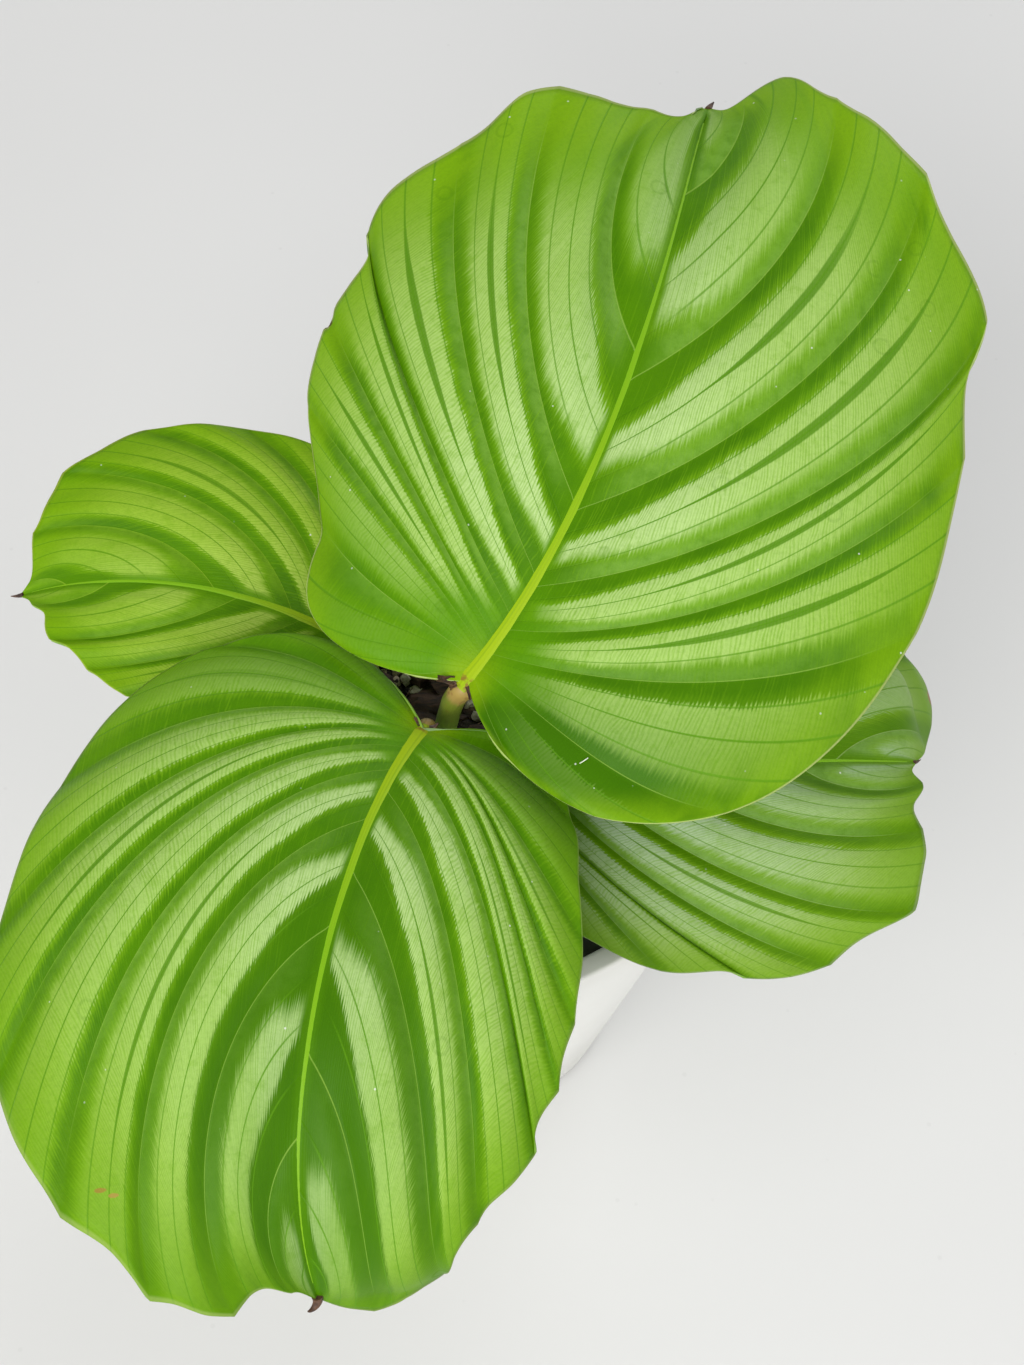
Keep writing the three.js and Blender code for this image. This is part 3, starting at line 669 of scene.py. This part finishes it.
    # relief of the small veins and of the strands between them
    height = fine * -0.6 + primary * -0.9 + strand * 0.12 + grain * 0.3
    normal = look.bump(height, 0.35, 0.35 * mm)
    rough = patch * 0.16 + 0.30 + silver * 0.05 + ring * 0.1
    body = look.surface(skin, rough, Normal=normal, Specular_IOR_Level=c["specular"])
    return look.glowing(body, c["translucentShare"], Normal=normal)


def bladeUnder(leaf):
    c = leafLooks
    look = Look("bladeUnder" + leaf["node"][-1])
    pleat, _ = look.mapName("veins")
    f = pleat.fraction()
    toCrease = (1 - abs(f - 0.5) * 2) * 0.5
    primary = 1 - toCrease.rise(0.01, 0.035)
    fine = 1 - abs(abs(f - 0.5) - 0.25).rise(0.006, 0.02)
    patch = look.cloud(60.0, 3.0)
    skin = look.mix(patch.rise(0.3, 0.7), c["under"], tuple(v * 0.8 for v in c["under"]))
    skin = look.mix(primary * 0.8 + fine * 0.25, skin, c["underVein"])
    normal = look.bump(primary * 1.0 + fine * 0.4 + patch * 0.3, 0.5, 0.4 * mm)
    return look.glowing(look.surface(skin, patch * 0.1 + 0.55, Normal=normal), c["underShare"])


def bladeEdge(name, light, dark):
    look, patch, skin = twoTone(name, (160.0, 3.0), (0.35, 0.7), light, dark)
    return look.cover(look.mix(patch.rise(0.74, 0.8), skin, (0.30, 0.19, 0.07)), 0.5)


stemLooks = {
    "rib": (0.31, 0.45, 0.0005), "ribTip": (0.17, 0.385, 0.004), "ribGroove": (0.20, 0.33, 0.001),
    "olive": (0.145, 0.19, 0.012), "tan": (0.38, 0.26, 0.07), "stalkGreen": (0.16, 0.30, 0.03),
    "rust": (0.20, 0.06, 0.02), "ribUnder": (0.32, 0.43, 0.10), "streak": (0.10, 0.12, 0.02),
    "foot": (0.11, 0.06, 0.025),
}


def ribTop():
    c = stemLooks
    look = Look("ribTop")
    turn, run = look.mapName("stem")
    streak = look.cloud(1.0, 3.0, place=look.spot(turn * 14, run * 3))
    across = abs(abs(turn) - 0.5).smaller(abs(turn))  # 0 along the middle of the top
    groove = (1 - abs(across - 0.035).rise(0.005, 0.03)) * streak.rise(0.3, 0.6)
    rusty = (1 - abs(run - 0.012).rise(0.004, 0.014)) * look.cloud(600.0).rise(0.45, 0.6)
    skin = look.layers(c["rib"], [
        (run.rise(0.03, 0.5), c["ribTip"]), (groove * 0.6, c["ribGroove"]),
        (streak.rise(0.5, 0.75) * 0.35, c["ribTip"]), (rusty * 0.7, c["rust"])])
    normal = look.bump(streak + look.cloud(700.0) * 0.5, 0.4, 0.3 * mm)
    return look.cover(skin, streak * 0.1 + 0.42, Normal=normal, Specular_IOR_Level=0.2)


def stalkSkin():
    c = stemLooks
    look = Look("stalkSkin")
    turn, run = look.mapName("stem")
    streak = look.cloud(1.0, 4.0, 0.6, look.spot(turn * 18, run * 5))
    run = run * stalkForm["whole"]  # 1 at the blade's base, and on under the blade
    skin = look.layers(c["stalkGreen"], [
        (run.rise(0.35, 0.8), c["olive"]), ((run + streak * 0.05).rise(0.79, 0.875), c["tan"]),
        (run.rise(1.0, 1.08), c["ribUnder"]), (streak.rise(0.5, 0.8) * 0.6, c["streak"]),
        (1 - run.rise(0.22, 0.42), c["foot"]),
        ((1 - look.cells(420.0).rise(0.12, 0.25)) * 0.35, c["rust"])])
    normal = look.bump(streak * 1.2 + look.cloud(500.0) * 0.4, 0.5, 0.4 * mm)
    return look.cover(skin, streak * 0.15 + 0.42, Normal=normal)


def driedSkin():
    look, patch, skin = twoTone("driedSkin", (500.0, 4.0, 0.7), (0.3, 0.7),
                                (0.022, 0.008, 0.006), (0.12, 0.055, 0.025))
    return look.cover(skin, patch * 0.2 + 0.5, Normal=look.bump(patch, 0.6, 0.4 * mm))


stalkMaterial, ribMaterial = stalkSkin(), ribTop()
driedMaterial = driedSkin()
paleEdge = bladeEdge("bladeEdge", (0.44, 0.54, 0.17), (0.30, 0.44, 0.09))
greenEdge = bladeEdge("bladeEdgeGreen", (0.24, 0.42, 0.05), (0.15, 0.32, 0.015))
blades = {}
for leaf in leafList:
    edgeMaterial = paleEdge if leaf["node"] == "leaf_1" else greenEdge
    blade = makeBlade(leaf, [bladeTop(leaf), bladeUnder(leaf), edgeMaterial])
    blades[leaf["node"]] = blade
    makeRib(leaf, blade, ribMaterial)
    makeStalk(leaf, blade, stalkMaterial)
    print("leaf done", leaf["node"])


# dried tips, torn sheaths at two joints, and a piece of lint

tipForm = {  # length and thickness in mm, then the curl and its turn to the right in degrees
    "leaf_1": (2.8, 1.15, 60, 40), "leaf_2": (4.2, 1.4, 150, 75), "leaf_3": (2.6, 0.7, 50, 0),
    "leaf_4": (2.0, 0.55, 50, 0), "steps": 13, "inside": 1.5, "taper": 0.85,
}
for leaf in leafList:
    blade = blades[leaf["node"]]
    length, thick, curl, aside = tipForm[leaf["node"]]
    lean = math.radians(aside)
    point, forward, right, normal = (v[0] for v in blade.frame(np.array([blade.length])))
    edge = blade.surface(1, np.array([0.0]), np.array([1.0]))[0][0]
    sideways = normal * math.cos(lean) + right * math.sin(lean)
    steps, inside = tipForm["steps"], tipForm["inside"]
    spot, stations = edge - forward * inside * mm, []
    for i in range(steps + 1):
        turn = math.radians(curl) * (i / steps)**1.3
        stations.append((spot.copy(), thick * mm * (1 - tipForm["taper"] * (i / steps)**1.5)))
        ahead = forward * math.cos(turn) + sideways * math.sin(turn)
        spot = spot + ahead * (length + inside) / steps * mm
    tip = makeStem("driedTip" + leaf["node"][-1], stations, sides=10)
    finishPiece(tip, leaf["node"], [driedMaterial])
print("tips done")

# torn shreds at a joint: across and along the base, heading, length, width and curl, in mm and degrees
sheathForm = {
    "leaf_1": [(-2.0, -1.0, 235, 4.4, 2.2, 50), (-1.2, -1.2, 205, 3.0, 1.6, -30),
               (1.5, 0.2, 115, 3.6, 0.9, 15)],
    "leaf_2": [(-1.2, -0.6, 240, 2.4, 1.4, 40), (1.2, 0.0, 120, 2.4, 0.9, 20)],
    "above": 0.3 * mm, "ragged": 0.35, "taper": 0.45, "cup": 1.6, "thickness": 0.22 * mm,
}


def makeShreds(leaf, blade, material):
    form, shreds = sheathForm, []
    point, forward, right, normal = (v[0] for v in blade.frame(np.array([0.0])))
    for across, along, heading, length, width, curl in form[leaf["node"]]:
        turn = math.radians(heading)
        ahead = forward * math.cos(turn) + right * math.sin(turn)
        aside = np.cross(normal, ahead)
        shred = addPrimitive("grid", "shred", x_subdivisions=5, y_subdivisions=10, size=1)
        start = point + (right * across + forward * along) * mm + normal * form["above"]
        placed = []
        for x, y, _ in pointsOf(shred):
            u = y + 0.5
            bend = math.radians(curl) * u
            ragged = form["ragged"] * noise.noise(Vector((x * 6, u * 3, heading)))
            step = length * mm * u * (1 + ragged * u)
            spot = start + ahead * step * math.cos(bend) + normal * step * math.sin(bend)
            side = x * width * mm * (1 - form["taper"] * u + ragged)
            placed.append(spot + aside * side + normal * (form["cup"] * x * x * width * mm))
        placePoints(shred, placed)
        applyModifier(shred, "SOLIDIFY", thickness=form["thickness"], offset=0, use_even_offset=False)
        shreds.append(shred)
    piece = joinAll(shreds, "tornSheath" + leaf["node"][-1])
    finishPiece(piece, leaf["node"], [material])


for leaf in leafList[:2]:
    makeShreds(leaf, blades[leaf["node"]], driedMaterial)
lintForm = {"along": (0.832, 0.819), "outward": (0.585, 0.555), "steps": 8, "above": 0.4, "radius": 0.13}
along, outward = (np.linspace(*lintForm[key], lintForm["steps"]) for key in ("along", "outward"))
ends = blades["leaf_1"].surface(1, along, outward)[0] + [0, 0, lintForm["above"] * mm]
lint = makeStem("lintOnLeaf1", [(spot, lintForm["radius"] * mm) for spot in ends], sides=6)
look, _, skin = twoTone("lintWhite", (900.0,), (0.3, 0.7), (0.80, 0.84, 0.74), (0.66, 0.72, 0.55))
finishPiece(lint, "leaf_1", [look.cover(skin, 0.7)])
print("torn sheaths and lint done")


# pots

potForm = {"height": 155, "topRadius": 80, "footRadius": 48, "wall": 6, "floor": 6, "sides": 160, "edge": 1.3}
growForm = {"top": 151, "foot": 6.3, "clearance": 0.7, "lip": 5, "lipDepth": 7, "wall": 1.6, "floor": 2,
            "holes": 5, "holeRadius": 4, "holeCircle": 24, "drill": 8, "edge": 0.45,
            "lipStep": 0.05, "sides": 128}


def potRadiusAt(height):
    form = potForm
    return form["footRadius"] + (form["topRadius"] - form["footRadius"]) * height / form["height"]


def levelFaces(level):  # faces that look up or down at a height, in mm
    return lambda face: abs(face.normal.z) > 0.9 and abs(face.center.z - level * mm) < 0.2 * mm


def scaleSelected(factor):  # in plan, about the pot's axis
    bpy.ops.transform.resize(value=(factor, factor, 1), center_override=(0, 0, 0))


def extrudeUp(height, factor):  # the selected faces, by a height in mm, then their size in plan by a factor
    bpy.ops.mesh.extrude_region_move(TRANSFORM_OT_translate={"value": (0, 0, height * mm)})
    scaleSelected(factor)


def startPot(name, sides, foot, footRadius, top, topRadius):  # a closed cone, with its top face selected
    pot = addPrimitive("cylinder", name, vertices=sides, radius=footRadius * mm, depth=(top - foot) * mm,
                       location=(0, 0, (foot + (top - foot) / 2) * mm))
    applyPlace()
    selectParts(pot, "FACE", levelFaces(top))
    scaleSelected(topRadius / footRadius)
    return pot


def roundEdges(pot, width, segments):
    applyModifier(pot, "BEVEL", width=width * mm, segments=segments, limit_method="ANGLE",
                  angle_limit=math.radians(35))


def makePot(material):
    form = potForm
    height, wall, floor = form["height"], form["wall"], form["floor"]
    pot = startPot("potOuter", form["sides"], 0, form["footRadius"], height, form["topRadius"])
    bpy.ops.mesh.inset(thickness=wall * mm, depth=0)
    extrudeUp(floor - height, (potRadiusAt(floor) - wall) / (form["topRadius"] - wall))
    roundEdges(pot, form["edge"], 5)
    finishPiece(pot, "pot", [material], smoothAngle=35)


def bodyRadius(height):  # the grow pot's outside at a height
    return potRadiusAt(height) - potForm["wall"] - growForm["clearance"]


def makeGrowPot(material):
    form = growForm
    foot, top, lip, wall, depth = (form[key] for key in ("foot", "top", "lip", "wall", "lipDepth"))
    neck, step = top - depth, form["lipStep"]
    footRadius, lipFoot, lipRadius = bodyRadius(foot), bodyRadius(neck), bodyRadius(top)
    neckRadius = lipFoot - lip + wall
    pot = startPot("growPot", form["sides"], foot, footRadius, neck, neckRadius)
    extrudeUp(step, lipFoot / neckRadius)
    extrudeUp(depth - step, lipRadius / lipFoot)
    bpy.ops.mesh.inset(thickness=lip * mm, depth=0)
    extrudeUp(-depth, (neckRadius - wall) / (lipRadius - lip))
    extrudeUp(foot + form["floor"] - neck, (footRadius - wall) / (neckRadius - wall))
    setMode("OBJECT")
    circle = form["holeCircle"] * mm
    for i in range(form["holes"]):
        angle = i / form["holes"] * 2 * math.pi
        spot = (circle * math.cos(angle), circle * math.sin(angle), (foot + 1) * mm)
        drill = addPrimitive("cylinder", "drill", vertices=32, radius=form["holeRadius"] * mm,
                             depth=form["drill"] * mm, location=spot)
        applyModifier(pot, "BOOLEAN", object=drill, operation="DIFFERENCE", solver="EXACT")
        bpy.data.objects.remove(drill)
    roundEdges(pot, form["edge"], 3)
    finishPiece(pot, "grow_pot", [material], smoothAngle=35)


def glaze():
    look, cloud, skin = twoTone("potGlaze", (14.0, 3.0), (0.35, 0.7),
                                (0.80, 0.80, 0.765), (0.74, 0.735, 0.69))
    speck = (1 - look.cells(380.0).rise(0.06, 0.12)) * look.cloud(90.0).rise(0.62, 0.66)
    skin = look.mix(speck * 0.35, skin, (0.5, 0.48, 0.42))
    normal = look.bump(look.cloud(26.0) + look.cloud(320.0) * 0.08 - speck * 0.3, 0.25, 0.6 * mm)
    return look.cover(skin, cloud * 0.12 + 0.26, Normal=normal, Coat_Weight=0.25, Coat_Roughness=0.12)


def blackPlastic():
    look, cloud, skin = twoTone("growPotPlastic", (40.0, 3.0), (0.35, 0.7),
                                (0.022, 0.024, 0.024), (0.036, 0.038, 0.034))
    skin = look.mix(look.cloud(260.0, 4.0).rise(0.6, 0.8) * 0.35, skin, (0.10, 0.08, 0.06))
    return look.cover(skin, cloud * 0.2 + 0.36, Normal=look.bump(look.cloud(900.0), 0.25, 0.2 * mm))


makePot(glaze())
makeGrowPot(blackPlastic())
print("pots done")


# potting mix: a crumbly bed, bark, perlite and fibres

mixForm = {"top": 134, "grid": 170, "relief": 1.7, "bottom": 8.6, "lowShare": 0.65, "seed": 12,
           "gap": 0.1 * mm, "rimShare": 0.9995, "reach": 0.97, "edgeGap": 0.4 * mm, "stalkGap": 3}
looseForm = {  # the lumps' kind, jag and flatness; count, sizes in mm, sink, tilt, smoothing, first spots
    "barkChips": {"kind": "bark", "jag": 0.35, "flats": [(0.6, 0.35), (0.8, 0.45), (0.45, 0.4)],
                  "count": 150, "sizes": (3.0, 8.5), "sink": 0.08, "tilt": 0.5, "smooth": 35, "spots": []},
    "perliteGrains": {"kind": "grain", "jag": 0.4, "flats": [(0.9, 0.8), (0.75, 0.85)],
                      "count": 120, "sizes": (0.9, 2.2), "sink": -0.25, "tilt": 1.5, "smooth": 50,
                      "spots": [(-18.2, 34.9), (-16.1, 31.8), (-13.7, 28.7), (-19.3, 31.1),
                                (2.7, 23.5), (4.6, 19.8)]},
    "mixCrumbs": {"kind": "grain", "jag": 0.6, "flats": [(0.9, 0.7), (0.7, 0.6)],
                  "count": 260, "sizes": (0.8, 2.2), "sink": 0.0, "tilt": 1.5, "smooth": 50, "spots": []},
}
fibreForm = {"count": 46, "steps": 8, "stride": 1.1 * mm, "radii": (0.13, 0.2), "bend": 0.5, "sides": 5,
             "reach": 0.85, "turning": 0.25, "low": 0.25, "arch": 0.9, "thinning": 0.5}
fullTurn = 6.28  # radians, for the random headings
mixLow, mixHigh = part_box("potting_mix")
mixRadius = (mixHigh.x - mixLow.x) / 2
draw = random.Random(mixForm["seed"])


def mixHeight(x, y):  # the height of the bed's crumbly top
    spot = Vector((x, y, 0)) * 1000
    lumps = noise.fractal(spot * 0.10, 1.0, 2.0, 3) * 0.9
    crumbs = noise.fractal(spot * 0.42 + Vector((7, 3, 1)), 0.9, 2.1, 3) * 0.55
    return mixForm["top"] * mm + (lumps + crumbs - 0.1) * mixForm["relief"] * mm


def makeBed(material):
    form = mixForm
    bed = addPrimitive("grid", "mixBed", x_subdivisions=form["grid"], y_subdivisions=form["grid"], size=2)
    x, y, _ = pointsOf(bed).T
    radius = mixRadius - form["gap"]
    discX, discY = x * np.sqrt(1 - y * y / 2) * radius, y * np.sqrt(1 - x * x / 2) * radius
    placePoints(bed, [(a, b, mixHeight(a, b)) for a, b in zip(discX, discY)])
    rim = form["rimShare"] * radius
    selectParts(bed, "EDGE", lambda a, b: min(math.hypot(a.x, a.y), math.hypot(b.x, b.y)) > rim)
    extrudeUp(form["bottom"] - form["top"], form["lowShare"])
    bpy.ops.mesh.edge_face_add()
    setMode("OBJECT")
    mergeClose(bed)
    finishPiece(bed, "potting_mix", [material], smoothAngle=50)


def makeLump(form, flat):  # one rough lump, a millimetre in radius, to copy
    if form["kind"] == "bark":
        lump = addPrimitive("cube", "lump", size=2)
        setMode("EDIT")
        bpy.ops.mesh.subdivide(number_cuts=3, smoothness=0.35)
        setMode("OBJECT")
    else:
        lump = addPrimitive("ico_sphere", "lump", subdivisions=2, radius=1)
    points, jag = pointsOf(lump), form["jag"]
    shift = draw.random() * 50
    for i, point in enumerate(points):
        spot = Vector(point) * 1.3 + Vector((shift, 0, 0))
        swell = 1 + jag * noise.noise(spot) + jag * 0.5 * noise.noise(spot * 2.7)
        points[i] = point * swell * np.array([1, *flat])
    placePoints(lump, points * mm)
    return lump


def drawPlace(share, turn):  # a distance from the bed's middle, and the place
    distance, direction = mixRadius * share * math.sqrt(draw.random()), draw.random() * turn
    return distance, distance * math.cos(direction), distance * math.sin(direction)


def scatter(name, form):
    lumps = [makeLump(form, flat) for flat in form["flats"]]
    made, (small, large), spots, tilt = [], form["sizes"], form["spots"], form["tilt"]
    while len(made) < form["count"]:
        distance, x, y = drawPlace(mixForm["reach"], 2 * math.pi)
        size = small + (large - small) * draw.random()**2
        if len(made) < len(spots):
            (x, y), size = (v * mm for v in spots[len(made)]), large
            distance = math.hypot(x, y)
        feet = [(x / mm - leaf["foot"][0], y / mm - leaf["foot"][1]) for leaf in leafList]
        tooFar = distance + size * mm > mixRadius - mixForm["edgeGap"]
        if tooFar or any(math.hypot(*away) < size + mixForm["stalkGap"] for away in feet):
            continue
        copy = draw.choice(lumps).copy()
        copy.data = copy.data.copy()
        bpy.context.scene.collection.objects.link(copy)
        copy.location = (x, y, mixHeight(x, y) - form["sink"] * size * mm)
        tilts = draw.uniform(-tilt, tilt), draw.uniform(-tilt, tilt)
        copy.rotation_euler = (*tilts, draw.uniform(0, fullTurn))
        copy.scale = (size, size, size)
        made.append(copy)
    selectOnly(*made)
    applyPlace()
    joined = joinAll(made, name)
    for lump in lumps:
        bpy.data.objects.remove(lump)
    return joined


def earth():
    look, lump, skin = twoTone("mixEarth", (260.0, 5.0, 0.65), (0.35, 0.7),
                               (0.005, 0.004, 0.003), (0.034, 0.022, 0.013))
    skin = look.mix(look.cloud(700.0, 3.0).rise(0.68, 0.76), skin, (0.14, 0.10, 0.06))
    normal = look.bump(lump * 1.2 + look.cells(900.0) * 0.8, 0.9, 0.8 * mm)
    return look.cover(skin, lump * 0.2 + 0.75, Normal=normal)


def barkSkin():
    look = Look("barkSkin")
    stretched = look.node("ShaderNodeMapping", sockets={"Vector": look.place, "Scale": (1, 4, 1)})
    grain = look.cloud(260.0, 5.0, 0.65, stretched)
    skin = look.mix(grain.rise(0.35, 0.7), (0.016, 0.008, 0.005), (0.085, 0.042, 0.02))
    skin = look.mix(look.cloud(70.0).rise(0.58, 0.68), skin, (0.17, 0.10, 0.05))
    return look.cover(skin, grain * 0.2 + 0.65, Normal=look.bump(grain, 0.8, 0.7 * mm))


def perliteSkin():
    look, pit, skin = twoTone("perliteSkin", (900.0, 4.0, 0.6), (0.35, 0.65),
                              (0.32, 0.28, 0.20), (0.56, 0.52, 0.43))
    skin = look.mix(look.cloud(120.0).rise(0.5, 0.7) * 0.6, skin, (0.36, 0.24, 0.13))
    return look.cover(skin, 0.8, Normal=look.bump(pit, 0.8, 0.5 * mm))


def makeFibres():
    form, fibres = fibreForm, []
    steps, stride, half = form["steps"], form["stride"], form["steps"] / 2
    for _ in range(form["count"]):
        _, x, y = drawPlace(form["reach"], fullTurn)
        heading, bend = draw.random() * fullTurn, draw.uniform(-form["bend"], form["bend"])
        stations = []
        for k in range(steps + 1):
            height = mixHeight(x, y) + (form["low"] + form["arch"] * math.sin(math.pi * k / steps)) * mm
            radius = draw.uniform(*form["radii"]) * mm * (1 - form["thinning"] * abs(k - half) / half)
            stations.append(((x, y, height), radius))
            heading += bend * form["turning"]
            x, y = x + stride * math.cos(heading), y + stride * math.sin(heading)
        fibres.append(makeStem("fibre", stations, sides=form["sides"]))
    look, _, skin = twoTone("fibreSkin", (300.0, 3.0), (0.3, 0.7), (0.10, 0.055, 0.03), (0.30, 0.20, 0.11))
    finishPiece(joinAll(fibres, "mixFibres"), "potting_mix", [look.cover(skin, 0.7)],
                smoothAngle=80)


makeBed(earth())
looseSkins = {"barkChips": barkSkin(), "perliteGrains": perliteSkin(), "mixCrumbs": earth()}
for name, form in looseForm.items():
    finishPiece(scatter(name, form), "potting_mix", [looseSkins[name]],
                smoothAngle=form["smooth"])
makeFibres()
print("potting mix done")


# floor, light and camera

stageForm = {"floor": (0.675, 0.675, 0.67), "floorSize": 40, "floorDepth": 0.0004, "world": 0.55,
             "lens": 54.0, "tilt": 33.0, "cameraPlace": (0.014897, -0.294880, 0.637188),
             "nearest": 0.01}


def paleFloor():
    pale = stageForm["floor"]
    look, _, skin = twoTone("paleFloor", (3.0, 3.0), (0.3, 0.7), pale, tuple(v * 0.975 for v in pale))
    skin = look.mix((1 - look.cells(60.0).rise(0.03, 0.06)) * 0.15, skin, (0.45, 0.45, 0.44))
    return look.cover(skin, 0.75)


floor = addPrimitive("plane", "floor", size=stageForm["floorSize"],
                     location=(0, 0, -stageForm["floorDepth"]))
floor.data.materials.append(paleFloor())


def addLight(name, place, target, size, power, tone):
    selectOnly()
    bpy.ops.object.light_add(type="AREA", location=place)
    lamp = bpy.context.active_object
    lamp.name = name
    lamp.data.shape, lamp.data.size, lamp.data.energy, lamp.data.color = "DISK", size, power, tone
    lamp.rotation_euler = (Vector(target) - Vector(place)).to_track_quat("-Z", "Y").to_euler()


addLight("frontLight", (-0.7, -1.4, 1.2), (0, 0, 0.18), 1.7, 35, (1.0, 0.99, 0.97))
addLight("rightLight", (1.3, -0.9, 0.7), (0, 0, 0.15), 1.2, 6, (1.0, 1.0, 0.99))
addLight("backLight", (1.0, 1.3, 1.4), (0, 0, 0.18), 1.2, 11, (0.97, 0.99, 1.0))

world = bpy.data.worlds.new("paleRoom")
bpy.context.scene.world = world
world.use_nodes = True
background = world.node_tree.nodes["Background"].inputs
background["Color"].default_value = (1.0, 1.0, 1.0, 1.0)
background["Strength"].default_value = stageForm["world"]
bpy.context.scene.view_settings.view_transform = "Standard"

selectOnly()
bpy.ops.object.camera_add(location=stageForm["cameraPlace"], rotation=(math.radians(stageForm["tilt"]), 0, 0))
camera = bpy.context.active_object
camera.data.lens = stageForm["lens"]
camera.data.clip_start = stageForm["nearest"]
bpy.context.scene.camera = camera
print("stage done")
